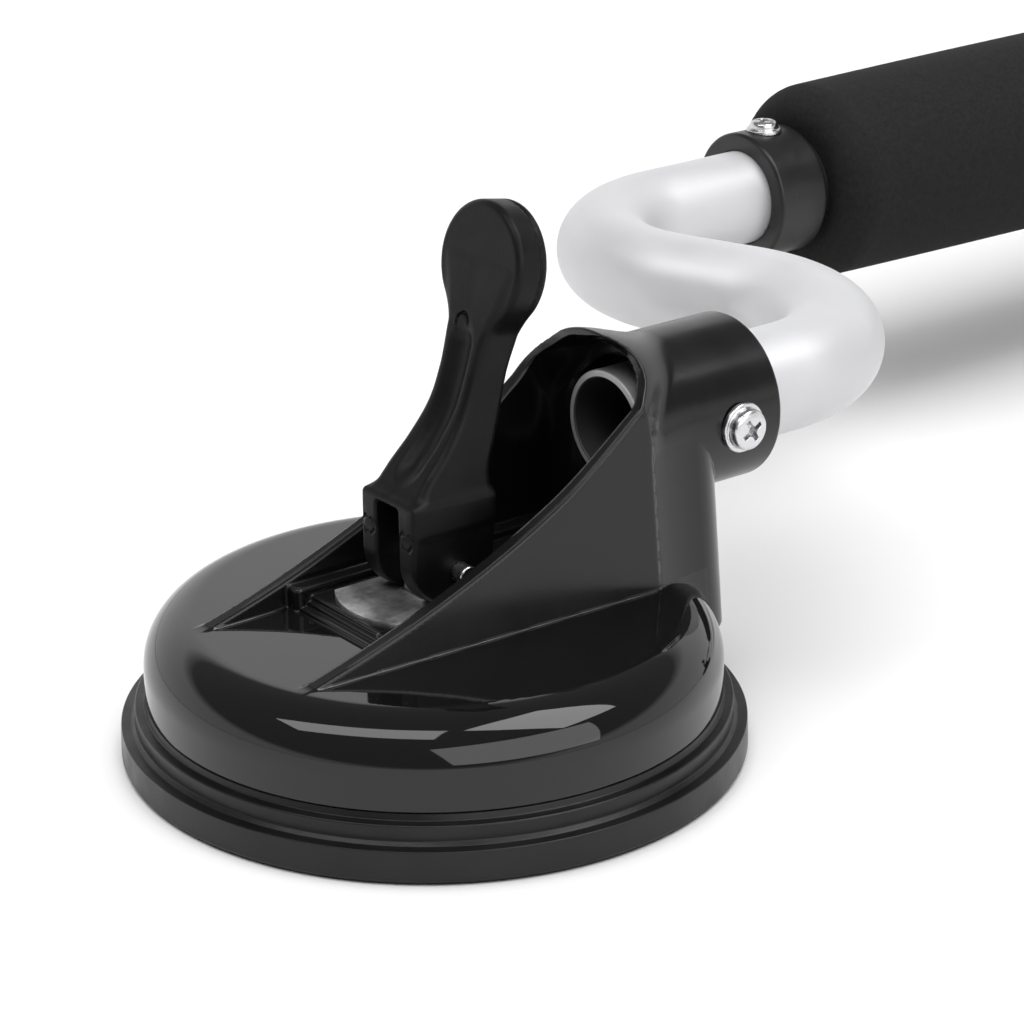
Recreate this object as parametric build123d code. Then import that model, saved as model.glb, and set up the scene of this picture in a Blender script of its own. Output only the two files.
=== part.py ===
from build123d import *
import math
import os

# Suction grab bar: two lever-operated suction feet joined by one bent tube, with a foam
# sleeve that turns on the tube between two stop collars.  Millimetres, +Z up, floor at
# z = 0.  Each foot is modelled about its own vertical axis, with +X along its socket.

# --- driving dimensions: whole bar
BAR_AXIS_Z = 54.2            # height of the tube's centre line
TUBE_R = 11.1                # 7/8 in tube
TUBE_WALL = 1.6
TUBE_START_X = 41.8          # open end of the tube, from the foot's axis
BEND_START_X = 87.7
BEND_R = 31.5
BEND_ANGLE = 111.0           # each bend turns past square
GRIP_OFFSET_Y = 102.0        # grip line from the foot's axis
COLLAR_X = 166.8             # front face of the stop collar, from the foot's axis
COLLAR_LENGTH = 14.5
FOAM_LENGTH = 280.0
FOAM_R = 24.7                # at mid length
FOAM_END_R = 23.6
FOAM_END_ROUND = 8.0
FOAM_GAP = 2.4               # between the foam and a collar
LINER_R = 13.0
PAD_R = 60.0

FOOT_X = COLLAR_X + COLLAR_LENGTH + FOAM_LENGTH / 2
FOOT_Y = -(GRIP_OFFSET_Y + FOAM_R - PAD_R) / 2      # centres the whole bar on Y

# --- rubber pad
PAD_LIP_Z = 6.5
PAD_HOLLOW_R = 50.0
PAD_HOLLOW_Z = 2.2
PAD_WEB_Z = 6.0
BOSS_TOP_Z = 10.0
BOSS_R = 25.0
INSERT_T = 2.0
INSERT_R = 24.0

# --- housing: cap, side walls, tower and socket
CAP_R = 55.1
CAP_LOW_Z = 11.6
CAP_TOP_Z = 28.0
CAP_SHOULDER_R = 10.0
CAP_WALL = 2.6
WALL_FRONT_X = -41.0
WALL_FRONT_HALF = 18.6
WALL_BACK_X = 38.0
WALL_BACK_HALF = 21.8
WALL_T = 3.2
WALL_TAPER = 5.5
BACK_WALL_X = 46.0           # front face of the wall behind the lever channel
PILLAR_HALF = 19.4           # where it meets the cap; it narrows to the socket's radius
PILLAR_FRONT_X = 22.0
PILLAR_BACK_X = 59.5
PILLAR_ROUND = 9.0
SOCKET_R = 16.6
SOCKET_END_X = 72.8
SOCKET_BORE_R = 11.18
HOOD_R = 20.5                # the tower's top flares out to this at its front lip
HOOD_X = 38.5
HOOD_ROOT_X = 54.0
HOOD_WALL = 1.2
ARCH_R = 15.7                # top of the channel, above the tube's open end
PLATFORM_FRONT_X = -20.4
PLATFORM_TOP_Z = 29.8

# --- lever and its cam
PLATE_T = 1.5
PLATE_R = 18.6
PLATE_HALF = 10.65
PIN_Z = 37.3
PIN_R = 2.0
PIN_HALF_LENGTH = 11.6
LEVER_HALF = 8.3
LEVER_FRONT = 10.4           # cam face under the pin with the lever folded down
LEVER_BACK = 9.2
LEVER_TOP_Z = 51.5
CAM_GAP = 0.25               # running gap between the cam and the wear plate
CAM_LOW = PIN_Z - PLATFORM_TOP_Z - PLATE_T - CAM_GAP
STUD_LIFT = LEVER_FRONT - CAM_LOW
SLOT_HALF = 3.5
SLOT_BACK = 5.4
SLOT_TOP_Z = 50.6
PADDLE_R = 12.0
PADDLE_T = 7.0
PADDLE_LEAN = 10.0
PADDLE_X = 11.3
PADDLE_Z = 92.9

# --- stud and fasteners
STUD_HALF_X = 4.5
STUD_HALF_Y = 3.0
SCREW_X = 62.2
SCREW_R = 2.0
SCREW_HEAD_R = 5.0
SCREW_HEAD_H = 3.6
COLLAR_R = 15.4


def ring(r_out, r_in, length, z=0.0):
    """Plain tube standing on z."""
    body = Cylinder(r_out, length) - Cylinder(r_in, length + 2)
    return Pos(0, 0, z + length / 2) * body


def along_x(shape):
    """Turn a shape standing on Z so that it lies along +X."""
    return Rot(0, 90, 0) * shape


def block(x0, x1, y0, y1, z0, z1):
    """Box between two corners."""
    size = (x1 - x0, y1 - y0, z1 - z0)
    return Pos((x0 + x1) / 2, (y0 + y1) / 2, (z0 + z1) / 2) * Box(*size)


def spin(outline):
    """Solid of revolution about Z from a closed (r, z) face on the XZ plane."""
    return revolve(outline, Axis.Z, 360)


def face_xz(*edges):
    """Face on the XZ plane from edges given in (x, z)."""
    return Plane.XZ * make_face(edges)


# ---------------------------------------------------------------- pad and stud
def suction_pad():
    """Flat rubber cup: lip, groove, raised ring, and the shoulder the cap sits on."""
    outline = Polyline(
        (0, PAD_HOLLOW_Z), (PAD_HOLLOW_R - 2.2, PAD_HOLLOW_Z), (PAD_HOLLOW_R, 0),
        (PAD_R - 1.1, 0), (PAD_R - 0.3, 0.8), (PAD_R, PAD_LIP_Z - 0.6), (PAD_R - 0.6, PAD_LIP_Z),
        (57.9, PAD_LIP_Z), (57.3, 7.2), (57.2, 9.4), (56.5, 10.2), (54.9, 10.2),
        (54.9, CAP_LOW_Z), (51.6, CAP_LOW_Z), (49.4, 8.6), (44.0, PAD_WEB_Z), (0, PAD_WEB_Z),
        close=True,
    )
    return spin(face_xz(outline))


def pad_boss():
    """Thick rubber centre of the pad, which stretches as the stud is pulled."""
    outline = Polyline(
        (0, PAD_WEB_Z), (BOSS_R + 3, PAD_WEB_Z), (BOSS_R, BOSS_TOP_Z), (0, BOSS_TOP_Z), close=True
    )
    return spin(face_xz(outline))


def insert_plate():
    """Steel disc bonded to the pad's centre."""
    disc = Pos(0, 0, BOSS_TOP_Z + INSERT_T / 2) * Cylinder(INSERT_R, INSERT_T)
    hole = Pos(17, 0, BOSS_TOP_Z) * Cylinder(2.5, 3 * INSERT_T)
    return disc - [Rot(0, 0, 60 * i) * hole for i in range(6)]


def pull_stud():
    """Flat tongue welded to the insert plate, with the lever pin's eye at its top."""
    low = BOSS_TOP_Z + INSERT_T
    tongue = block(-STUD_HALF_X, STUD_HALF_X, -STUD_HALF_Y, STUD_HALF_Y, low, PIN_Z)
    eye = Pos(0, 0, PIN_Z) * Rot(90, 0, 0) * Cylinder(STUD_HALF_X, 2 * STUD_HALF_Y)
    hole = Pos(0, 0, PIN_Z) * Rot(90, 0, 0) * Cylinder(PIN_R + 0.05, 4 * STUD_HALF_Y)
    return tongue + eye - hole


def return_spring():
    """Coil that pushes the insert plate back down."""
    wire_r = 0.7
    coil_r = 8.6
    low = BOSS_TOP_Z + INSERT_T + wire_r
    high = CAP_TOP_Z - CAP_WALL - wire_r
    turns = 4
    path = Helix(pitch=(high - low) / turns, height=high - low, radius=coil_r)
    section = Plane(origin=path @ 0, z_dir=path % 0) * Circle(wire_r)
    return Pos(0, 0, low) * sweep(section, path=path, is_frenet=True)


# ---------------------------------------------------------------- housing
def cap_shell():
    """Round glossy cap over the pad, open below, with radial ribs inside."""
    c = (CAP_R - CAP_SHOULDER_R, CAP_TOP_Z - CAP_SHOULDER_R)
    ri = CAP_SHOULDER_R - CAP_WALL
    diag = math.sqrt(0.5)
    outer = face_xz(
        Line((0, CAP_LOW_Z), (CAP_R, CAP_LOW_Z)),
        Line((CAP_R, CAP_LOW_Z), (CAP_R, c[1])),
        ThreePointArc((CAP_R, c[1]), (c[0] + CAP_SHOULDER_R * diag, c[1] + CAP_SHOULDER_R * diag),
                      (c[0], CAP_TOP_Z)),
        Line((c[0], CAP_TOP_Z), (0, CAP_TOP_Z)),
        Line((0, CAP_TOP_Z), (0, CAP_LOW_Z)),
    )
    r_in = CAP_R - CAP_WALL
    z_in = CAP_TOP_Z - CAP_WALL
    inner = face_xz(
        Line((0, CAP_LOW_Z - 1), (r_in, CAP_LOW_Z - 1)),
        Line((r_in, CAP_LOW_Z - 1), (r_in, c[1])),
        ThreePointArc((r_in, c[1]), (c[0] + ri * diag, c[1] + ri * diag), (c[0], z_in)),
        Line((c[0], z_in), (0, z_in)),
        Line((0, z_in), (0, CAP_LOW_Z - 1)),
    )
    cavity = spin(inner)
    rib = block(13, r_in, -1, 1, z_in - 7, z_in + 0.5)
    ribs = [Rot(0, 0, 30 + 60 * i) * rib for i in range(6)]
    hub = ring(13.2, 10.8, 7, z_in - 6.5)
    stiffeners = (hub + ribs) & (cavity + Pos(0, 0, z_in) * Cylinder(r_in - 6, 1.2))
    return spin(outer) - cavity + stiffeners


def plan(front_half, back_half, front_x, back_x):
    """Symmetrical trapezium seen from above."""
    return make_face(Polyline(
        (front_x, -front_half), (back_x, -back_half), (back_x, back_half), (front_x, front_half),
        close=True,
    ))


def side_walls():
    """The two walls beside the lever, drafted, growing wider towards the tower."""
    base = Pos(0, 0, CAP_TOP_Z - 0.6)
    outer = extrude(base * plan(WALL_FRONT_HALF, WALL_BACK_HALF, WALL_FRONT_X, WALL_BACK_X + 8),
                    amount=48, taper=WALL_TAPER)
    side = Polyline((-60, 0), (WALL_BACK_X - 4.1, 0), (WALL_BACK_X + 0.5, BAR_AXIS_Z),
                    (WALL_BACK_X + 0.5, 90), (-60, 90), close=True)
    return outer & extrude(face_xz(side), amount=60, both=True)


def hood():
    """Upper half of the tower, which flares towards its front lip."""
    upper = block(20, 70, -40, 40, BAR_AXIS_Z, 120)
    return tower_envelope() & upper & block(28, HOOD_ROOT_X, -40, 40, 0, 120)


def arch_over(radius, x0, x1):
    """Everything below a round arch about the tube's centre line."""
    barrel = Pos((x0 + x1) / 2, 0, BAR_AXIS_Z) * along_x(Cylinder(radius, x1 - x0))
    return barrel + block(x0, x1, -radius, radius, 0, BAR_AXIS_Z)


def flare(r_front, r_back, x0, x1):
    """Cone about the tube's centre line."""
    return Pos((x0 + x1) / 2, 0, BAR_AXIS_Z) * along_x(Cone(r_front, r_back, x1 - x0))


def channel_space():
    """The open space between the walls, rounded where it meets the back wall."""
    half = WALL_FRONT_HALF - WALL_T
    shape = block(WALL_FRONT_X - 20, BACK_WALL_X, -half, half, CAP_TOP_Z, 120)
    back = shape.edges().filter_by(Axis.Z).sort_by(Axis.X)[-2:]
    lip = HOOD_R - HOOD_WALL
    roof = arch_over(ARCH_R, WALL_FRONT_X - 20, BACK_WALL_X)
    roof = roof + flare(lip, ARCH_R, HOOD_X, BACK_WALL_X - 1)
    roof = roof + Pos(HOOD_X - 45, 0, BAR_AXIS_Z) * along_x(Cylinder(lip, 90))
    return fillet(back, 7) & roof


def open_front():
    """Everything above and ahead of the walls' sloping edge and the hood's lip."""
    far = 130
    outline = [
        Line((-80, CAP_TOP_Z - 9.5), (WALL_FRONT_X, CAP_TOP_Z)),
        TangentArc((WALL_FRONT_X, CAP_TOP_Z), (21.0, 52.3), tangent=(1, 0.25)),
        Spline((21.0, 52.3), (25.0, 55.8), (30.0, 58.9), (35.0, 62.8), (39.8, 67.5), (41.0, 70.0),
               (40.5, 72.5), (38.0, 74.8), (36.2, 77.5)),
        Line((36.2, 77.5), (36.2, far)),
        Line((36.2, far), (-80, far)),
        Line((-80, far), (-80, CAP_TOP_Z - 9.5)),
    ]
    return extrude(face_xz(*outline), amount=60, both=True)


def tower_envelope():
    """Limits the tower's top to the socket's round, flared towards the hood's lip."""
    barrel = Pos(HOOD_ROOT_X + 20, 0, BAR_AXIS_Z) * along_x(Cylinder(SOCKET_R, 40))
    front = Pos(HOOD_X - 45, 0, BAR_AXIS_Z) * along_x(Cylinder(HOOD_R, 90))
    below = block(-90, 90, -40, 40, 0, BAR_AXIS_Z)
    return barrel + flare(HOOD_R, SOCKET_R, HOOD_X, HOOD_ROOT_X) + front + below


def pillar():
    """Rounded hollow column behind the channel that carries the socket."""
    low, high = CAP_LOW_Z + 3, BAR_AXIS_Z + 3
    slope = (PILLAR_HALF - SOCKET_R) / (BAR_AXIS_Z - CAP_TOP_Z)
    mid = (PILLAR_FRONT_X + PILLAR_BACK_X) / 2
    faces = []
    for z in (low, high):
        half = PILLAR_HALF + slope * (CAP_TOP_Z - z)
        outline = RectangleRounded(PILLAR_BACK_X - PILLAR_FRONT_X, 2 * half, PILLAR_ROUND)
        faces.append(Pos(mid, 0, z) * outline)
    cap_space = Pos(0, 0, CAP_TOP_Z - 2 - 20) * Cylinder(CAP_R - 3, 40)
    hollow = block(BACK_WALL_X + 3, PILLAR_BACK_X - 3.5, -12, 12, 0, BAR_AXIS_Z - 18)
    return loft(faces) - cap_space, hollow


def socket():
    """Round socket that the tube's end passes through, with lightening pockets."""
    length = SOCKET_END_X - BACK_WALL_X
    body = Pos(BACK_WALL_X + length / 2, 0, BAR_AXIS_Z) * along_x(Cylinder(SOCKET_R, length))
    edge = body.edges().filter_by(GeomType.CIRCLE).sort_by(Axis.X)[-1]
    return fillet(edge, 0.6)


def socket_cuts():
    """Tube bore, its wider mouth in the channel, the screw hole and the end pockets."""
    bore = Pos(SOCKET_END_X - 20, 0, BAR_AXIS_Z) * along_x(Cylinder(SOCKET_BORE_R, 60))
    mouth = Pos(BACK_WALL_X + 1, 0, BAR_AXIS_Z) * along_x(Cylinder(TUBE_R + 2.1, 6))
    screw = Pos(SCREW_X, -SOCKET_R / 2 - 3, BAR_AXIS_Z) * Rot(90, 0, 0)
    screw = screw * Cylinder(SCREW_R + 0.05, SOCKET_R + 6)
    seat = Pos(SCREW_X, -SOCKET_R - 1, BAR_AXIS_Z) * Rot(90, 0, 0) * Cylinder(SCREW_HEAD_R + 0.3, 2)
    webs = [Rot(0, 0, 45 * i + 22.5) * Box(2.2, 40, 20) for i in range(4)]
    pockets = ring(14.8, 13.0, 5, SOCKET_END_X - 4.8) - [Pos(0, 0, SOCKET_END_X) * web for web in webs]
    pockets = Pos(0, 0, BAR_AXIS_Z) * along_x(pockets)
    return [bore, mouth, screw, seat, pockets]


def platform():
    """Raised pad between the walls that the wear plate lies on."""
    half = WALL_FRONT_HALF - WALL_T + 0.4
    top = block(PLATFORM_FRONT_X, BACK_WALL_X + 0.5, -half, half, CAP_TOP_Z - 1, PLATFORM_TOP_Z)
    front = top.edges().filter_by(Axis.Y).group_by(Axis.Z)[-1].sort_by(Axis.X)[0]
    return chamfer(front, 0.5)


def housing():
    column, hollow = pillar()
    tower = ((side_walls() + column) & tower_envelope()) + hood()
    tower = tower - open_front() - channel_space()
    body = cap_shell() + tower + platform() + socket()
    body = body - hollow - socket_cuts()
    guide = block(-STUD_HALF_X - 0.6, STUD_HALF_X + 0.6, -STUD_HALF_Y - 0.5, STUD_HALF_Y + 0.5, 5, 40)
    return body - guide


# ---------------------------------------------------------------- wear plate, lever, pin
def wear_plate():
    """Steel strip with round ends that the cam slides on."""
    mid = PLATFORM_TOP_Z + PLATE_T / 2
    disc = Pos(0, 0, mid) * Cylinder(PLATE_R, PLATE_T)
    strip = Pos(0, 0, mid) * Box(80, 2 * PLATE_HALF, PLATE_T)
    slot = Pos(0, 0, mid) * Box(2 * STUD_HALF_X + 1, 2 * STUD_HALF_Y + 0.8, 3 * PLATE_T)
    return (disc & strip) - slot


def cam_point(degrees):
    """Point of the cam whose lift grows evenly with the lever's turn (an involute)."""
    a = math.radians(degrees)
    rise = STUD_LIFT / (math.pi / 2)
    h = CAM_LOW + rise * a
    x = -h * math.sin(a) - rise * math.cos(a)
    z = -h * math.cos(a) + rise * math.sin(a)
    return (x, PIN_Z + z)


def lever_block():
    """Cam block of the lever, slotted for the stud."""
    start, mid, end = cam_point(0), cam_point(45), cam_point(90)
    low = PIN_Z - CAM_LOW
    outline = face_xz(
        Spline(start, cam_point(22.5), mid, cam_point(67.5), end, tangents=[(-1, 0), (0, 1)]),
        Line(end, (-LEVER_FRONT, LEVER_TOP_Z - 1.5)),
        Line((-LEVER_FRONT, LEVER_TOP_Z - 1.5), (-LEVER_FRONT + 1.5, LEVER_TOP_Z + 1.0)),
        Line((-LEVER_FRONT + 1.5, LEVER_TOP_Z + 1.0), (LEVER_BACK, LEVER_TOP_Z)),
        Line((LEVER_BACK, LEVER_TOP_Z), (LEVER_BACK - 1.4, low)),
        Line((LEVER_BACK - 1.4, low), start),
    )
    body = extrude(outline, amount=LEVER_HALF, both=True)
    slot = block(-20, SLOT_BACK, -SLOT_HALF, SLOT_HALF, 20, SLOT_TOP_Z)
    hole = Pos(0, 0, PIN_Z) * Rot(90, 0, 0) * Cylinder(PIN_R + 0.02, 40)
    return body - slot - hole


# arm sections: height, front x, rear x, half width
ARM_SECTIONS = [
    (LEVER_TOP_Z - 0.5, -8.9, 8.9, 7.6),
    (55.5, -6.2, 8.0, 6.8),
    (60.5, -0.6, 9.6, 6.2),
    (66.5, 3.8, 11.4, 5.4),
    (73.0, 6.2, 12.8, 5.2),
    (80.0, 7.9, 15.4, 5.6),
    (87.0, 9.6, 16.6, 7.4),
]


def lever_arm():
    """Waisted arm that sweeps up and back from the block to the paddle."""
    faces = []
    for z, front, rear, half in ARM_SECTIONS:
        section = Pos((front + rear) / 2, 0, z) * RectangleRounded(rear - front, 2 * half, 1.6)
        faces.append(section)
    return loft(faces)


def paddle():
    """Round thumb disc, leaning back."""
    disc = Cylinder(PADDLE_R, PADDLE_T, align=(Align.CENTER, Align.CENTER, Align.MIN))
    disc = fillet(disc.edges(), 0.9)
    return Pos(PADDLE_X, 0, PADDLE_Z) * Rot(0, 90 + PADDLE_LEAN, 0) * disc


def lever():
    return lever_block() + lever_arm() + paddle()


def lever_pin():
    """Plain steel hinge pin through the lever's cheeks and the stud's eye."""
    pin = Cylinder(PIN_R, 2 * PIN_HALF_LENGTH)
    pin = chamfer(pin.edges(), 0.4)
    return Pos(0, 0, PIN_Z) * Rot(90, 0, 0) * pin


# ---------------------------------------------------------------- screws and collars
def pan_screw(head_r, head_h, shank_r, shank_length):
    """Cross-recessed pan-head screw: head's seat at z = 0, shank down -Z."""
    flange = Pos(0, 0, 0.5) * Cylinder(head_r, 1.0)
    dome = Pos(0, 0, head_h / 2) * Cylinder(head_r - 0.6, head_h)
    dome = fillet(dome.edges().sort_by(Axis.Z)[-1], head_h * 0.55)
    shank = Pos(0, 0, -shank_length / 2) * Cylinder(shank_r, shank_length)
    cross = Box(head_r * 1.05, head_r * 0.24, 2.4) + Box(head_r * 0.24, head_r * 1.05, 2.4)
    cross = Pos(0, 0, head_h) * Rot(0, 0, 30) * cross
    return flange + dome + shank - cross


def socket_screw():
    """Screw through the socket's side into the tube."""
    reach = SOCKET_R - TUBE_R + TUBE_WALL
    screw = pan_screw(SCREW_HEAD_R, SCREW_HEAD_H, SCREW_R, reach)
    return Pos(SCREW_X, -SOCKET_R, BAR_AXIS_Z) * Rot(90, 0, 0) * screw


def collar():
    """Stop collar: moulded ring clamped on the tube by a screw on top."""
    body = ring(COLLAR_R, TUBE_R + 0.05, COLLAR_LENGTH)
    rims = body.edges().filter_by(GeomType.CIRCLE).filter_by(lambda e: e.radius > COLLAR_R - 1)
    body = fillet(rims, 0.8)
    body = Pos(COLLAR_X, 0, 0) * along_x(body)
    seat = Pos(COLLAR_X + COLLAR_LENGTH / 2, 0, COLLAR_R + 0.7) * Cylinder(4.4, 2.4)
    hole = Pos(COLLAR_X + COLLAR_LENGTH / 2, 0, COLLAR_R) * Cylinder(SCREW_R + 0.05, 14)
    return Pos(0, GRIP_OFFSET_Y, BAR_AXIS_Z) * (body - seat - hole)


def collar_screw():
    """Screw on top of a stop collar."""
    reach = COLLAR_R - 0.5 - TUBE_R + TUBE_WALL
    screw = pan_screw(4.2, 3.0, SCREW_R, reach)
    x = COLLAR_X + COLLAR_LENGTH / 2
    return Pos(x, GRIP_OFFSET_Y, BAR_AXIS_Z + COLLAR_R - 0.5) * screw


# ---------------------------------------------------------------- tube, foam and liner
def tube():
    """One bent tube, open at both ends, drilled for its four screws."""
    reach = BEND_R * math.tan(math.radians(BEND_ANGLE / 2))
    first = FOOT_X - BEND_START_X - reach
    leg = GRIP_OFFSET_Y / math.sin(math.radians(BEND_ANGLE))
    second = first - leg * math.cos(math.radians(BEND_ANGLE))
    start = FOOT_X - TUBE_START_X
    grip = FOOT_Y + GRIP_OFFSET_Y
    path = FilletPolyline(
        (-start, FOOT_Y), (-first, FOOT_Y), (-second, grip),
        (second, grip), (first, FOOT_Y), (start, FOOT_Y), radius=BEND_R,
    )
    end = Plane(origin=path @ 0, z_dir=path % 0)
    body = sweep(end * Circle(TUBE_R), path=path) - sweep(end * Circle(TUBE_R - TUBE_WALL), path=path)
    body = Pos(0, 0, BAR_AXIS_Z) * body
    side = Pos(SCREW_X, -TUBE_R, BAR_AXIS_Z) * Rot(90, 0, 0) * Cylinder(SCREW_R + 0.02, 6)
    top = Pos(COLLAR_X + COLLAR_LENGTH / 2, GRIP_OFFSET_Y, BAR_AXIS_Z + TUBE_R)
    top = top * Cylinder(SCREW_R + 0.02, 6)
    holes = [left(side), right(side), left(top), mirror(left(top), Plane.YZ)]
    return body - holes


def foam_liner():
    """Stiff plastic sleeve bonded inside the foam; its bore runs on the tube."""
    gap = 0.3
    body = ring(LINER_R, TUBE_R + 0.1, FOAM_LENGTH - 2 * gap)
    return Pos(-FOAM_LENGTH / 2 + gap, FOOT_Y + GRIP_OFFSET_Y, BAR_AXIS_Z) * along_x(body)


def foam_sleeve():
    """Thick foam grip, slightly barrel-shaped, with rounded ends."""
    half = FOAM_LENGTH / 2 - FOAM_GAP
    shoulder = half - FOAM_END_ROUND
    flat = FOAM_END_R - FOAM_END_ROUND
    outline = face_xz(
        Line((LINER_R, -half), (flat, -half)),
        TangentArc((flat, -half), (FOAM_END_R, -shoulder), tangent=(1, 0)),
        ThreePointArc((FOAM_END_R, -shoulder), (FOAM_R, 0), (FOAM_END_R, shoulder)),
        TangentArc((FOAM_END_R, shoulder), (flat, half), tangent=(0, 1)),
        Line((flat, half), (LINER_R, half)),
        Line((LINER_R, half), (LINER_R, -half)),
    )
    return Pos(0, FOOT_Y + GRIP_OFFSET_Y, BAR_AXIS_Z) * along_x(spin(outline))


# ---------------------------------------------------------------- placing and writing
def left(shape):
    """Put a foot's part at the left foot."""
    return Pos(-FOOT_X, FOOT_Y, 0) * shape


def right(shape):
    """The right foot is the same foot, turned half round."""
    return Pos(FOOT_X, FOOT_Y, 0) * Rot(0, 0, 180) * shape


def write(name, shape):
    export_step(shape, f"parts/{name}.step")


def main():
    os.makedirs("parts", exist_ok=True)
    foot = {
        "suction_pad": suction_pad(),
        "pad_boss": pad_boss(),
        "insert_plate": insert_plate(),
        "pull_stud": pull_stud(),
        "return_spring": return_spring(),
        "housing": housing(),
        "wear_plate": wear_plate(),
        "lever": lever(),
        "lever_pin": lever_pin(),
        "socket_screw": socket_screw(),
    }
    for name, shape in foot.items():
        write(f"left_{name}", left(shape))
        write(f"right_{name}", right(shape))
    for name, shape in {"stop_collar": collar(), "collar_screw": collar_screw()}.items():
        write(f"left_{name}", left(shape))
        write(f"right_{name}", mirror(left(shape), Plane.YZ))
    write("bent_tube", tube())
    write("foam_liner", foam_liner())
    write("foam_sleeve", foam_sleeve())
    print("foot x", round(FOOT_X, 2), "foot y", round(FOOT_Y, 2), "lift", round(STUD_LIFT, 3))
    print("bend radius / tube diameter", round(BEND_R / (2 * TUBE_R), 2))


main()
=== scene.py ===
"""Looks of the suction grab bar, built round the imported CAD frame.

Metres, in the row frame.  Each foot is drawn about its own axis, with +X along its socket,
and the right foot is the left one turned half round.  The moulded pieces are drawn as
distance fields in the foot's own millimetres: negative inside, zero on the surface.
"""
import math

import bpy
import numpy as np
from mathutils import Matrix, Vector


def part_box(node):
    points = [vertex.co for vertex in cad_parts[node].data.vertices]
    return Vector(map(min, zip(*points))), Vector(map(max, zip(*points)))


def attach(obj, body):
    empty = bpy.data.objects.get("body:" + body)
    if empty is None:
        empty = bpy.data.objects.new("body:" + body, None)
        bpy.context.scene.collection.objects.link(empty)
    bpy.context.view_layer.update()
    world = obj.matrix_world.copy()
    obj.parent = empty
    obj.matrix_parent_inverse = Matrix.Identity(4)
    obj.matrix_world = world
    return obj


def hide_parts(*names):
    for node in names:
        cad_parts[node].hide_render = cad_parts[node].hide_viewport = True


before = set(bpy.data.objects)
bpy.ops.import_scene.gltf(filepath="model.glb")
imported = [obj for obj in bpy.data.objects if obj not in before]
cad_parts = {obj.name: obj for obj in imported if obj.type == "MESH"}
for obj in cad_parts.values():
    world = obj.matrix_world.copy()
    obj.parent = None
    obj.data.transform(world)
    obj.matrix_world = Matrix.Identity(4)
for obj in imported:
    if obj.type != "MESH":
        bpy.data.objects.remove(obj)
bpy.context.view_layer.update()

MM = 0.001
SIDES = ("left", "right")


# ------------------------------------------------------------------ places read from the frame
def middle(node):
    low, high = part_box(node)
    return (low + high) / 2


def half_size(node):
    low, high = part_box(node)
    return (high - low) / 2


FOOT_X = -middle("left_suction_pad").x
FOOT_Y = middle("left_suction_pad").y
AXIS_Z = middle("foam_sleeve").z
GRIP_Y = middle("foam_sleeve").y

# the same places in millimetres, from the foot's axis
AXIS = AXIS_Z / MM
PIN_Z = middle("left_lever_pin").z / MM
PIN_R = half_size("left_lever_pin").x / MM
PIN_HALF = half_size("left_lever_pin").y / MM
PLATE_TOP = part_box("left_wear_plate")[1].z / MM
PLATE_R = half_size("left_wear_plate").x / MM
PLATE_HALF = half_size("left_wear_plate").y / MM
PAD_R = half_size("left_suction_pad").x / MM
SOCKET_END = (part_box("left_housing")[1].x + FOOT_X) / MM
TUBE_START = (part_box("bent_tube")[0].x + FOOT_X) / MM
TUBE_R = half_size("bent_tube").z / MM
SCREW_X = (middle("left_socket_screw").x + FOOT_X) / MM
COLLAR_X = (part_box("left_stop_collar")[0].x + FOOT_X) / MM
COLLAR_LENGTH = 2 * half_size("left_stop_collar").x / MM
COLLAR_R = half_size("left_stop_collar").z / MM
GRIP_OFFSET = (GRIP_Y - FOOT_Y) / MM
FOAM_HALF = half_size("foam_sleeve").x / MM
FOAM_R = half_size("foam_sleeve").z / MM
CAP_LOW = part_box("left_housing")[0].z / MM


def foot_matrix(side):
    """Foot frame to row frame."""
    if side == "left":
        return Matrix.Translation((-FOOT_X, FOOT_Y, 0))
    return Matrix.Translation((FOOT_X, FOOT_Y, 0)) @ Matrix.Rotation(math.pi, 4, "Z")


# ------------------------------------------------------------------ distance fields
def both(a, b, r=0.0):
    """Where two solids overlap, with the outer edge rounded."""
    inner = np.minimum(np.maximum(a, b), -r)
    return inner + np.hypot(np.maximum(a + r, 0), np.maximum(b + r, 0))


def join(a, b, r=0.0):
    """Two solids together, with a fillet between them."""
    return -both(-a, -b, r)


def cut(a, b, r=0.0):
    """The first solid without the second, with the edge rounded."""
    return both(a, -b, r)


def soft_max(a, b, k):
    """The larger of two, blended where they are within k of each other."""
    t = np.clip(0.5 + 0.5 * (a - b) / k, 0, 1)
    return b + (a - b) * t + k * t * (1 - t)


def ease(t):
    """0 to 1, flat at both ends."""
    t = np.clip(t, 0, 1)
    return t * t * (3 - 2 * t)


def through(z, knots, values):
    """Smooth curve through a few values (Catmull-Rom)."""
    knots, values = np.asarray(knots, float), np.asarray(values, float)
    slopes = np.gradient(values, knots)
    i = np.clip(np.searchsorted(knots, z) - 1, 0, len(knots) - 2)
    width = knots[i + 1] - knots[i]
    t = np.clip((z - knots[i]) / width, 0, 1)
    start, end = values[i], values[i + 1]
    rise = end - start
    a = slopes[i] * width - rise
    b = rise - slopes[i + 1] * width
    return start + rise * t + t * (1 - t) * (a * (1 - t) + b * t)


# ------------------------------------------------------------------ fields to meshes
def slope_of(field, p, step=0.01):
    """Direction in which the field grows fastest."""
    grow = np.empty_like(p)
    for axis in range(3):
        ahead, behind = p.copy(), p.copy()
        ahead[:, axis] += step
        behind[:, axis] -= step
        grow[:, axis] = (field(*ahead.T) - field(*behind.T)) / (2 * step)
    return grow


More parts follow.
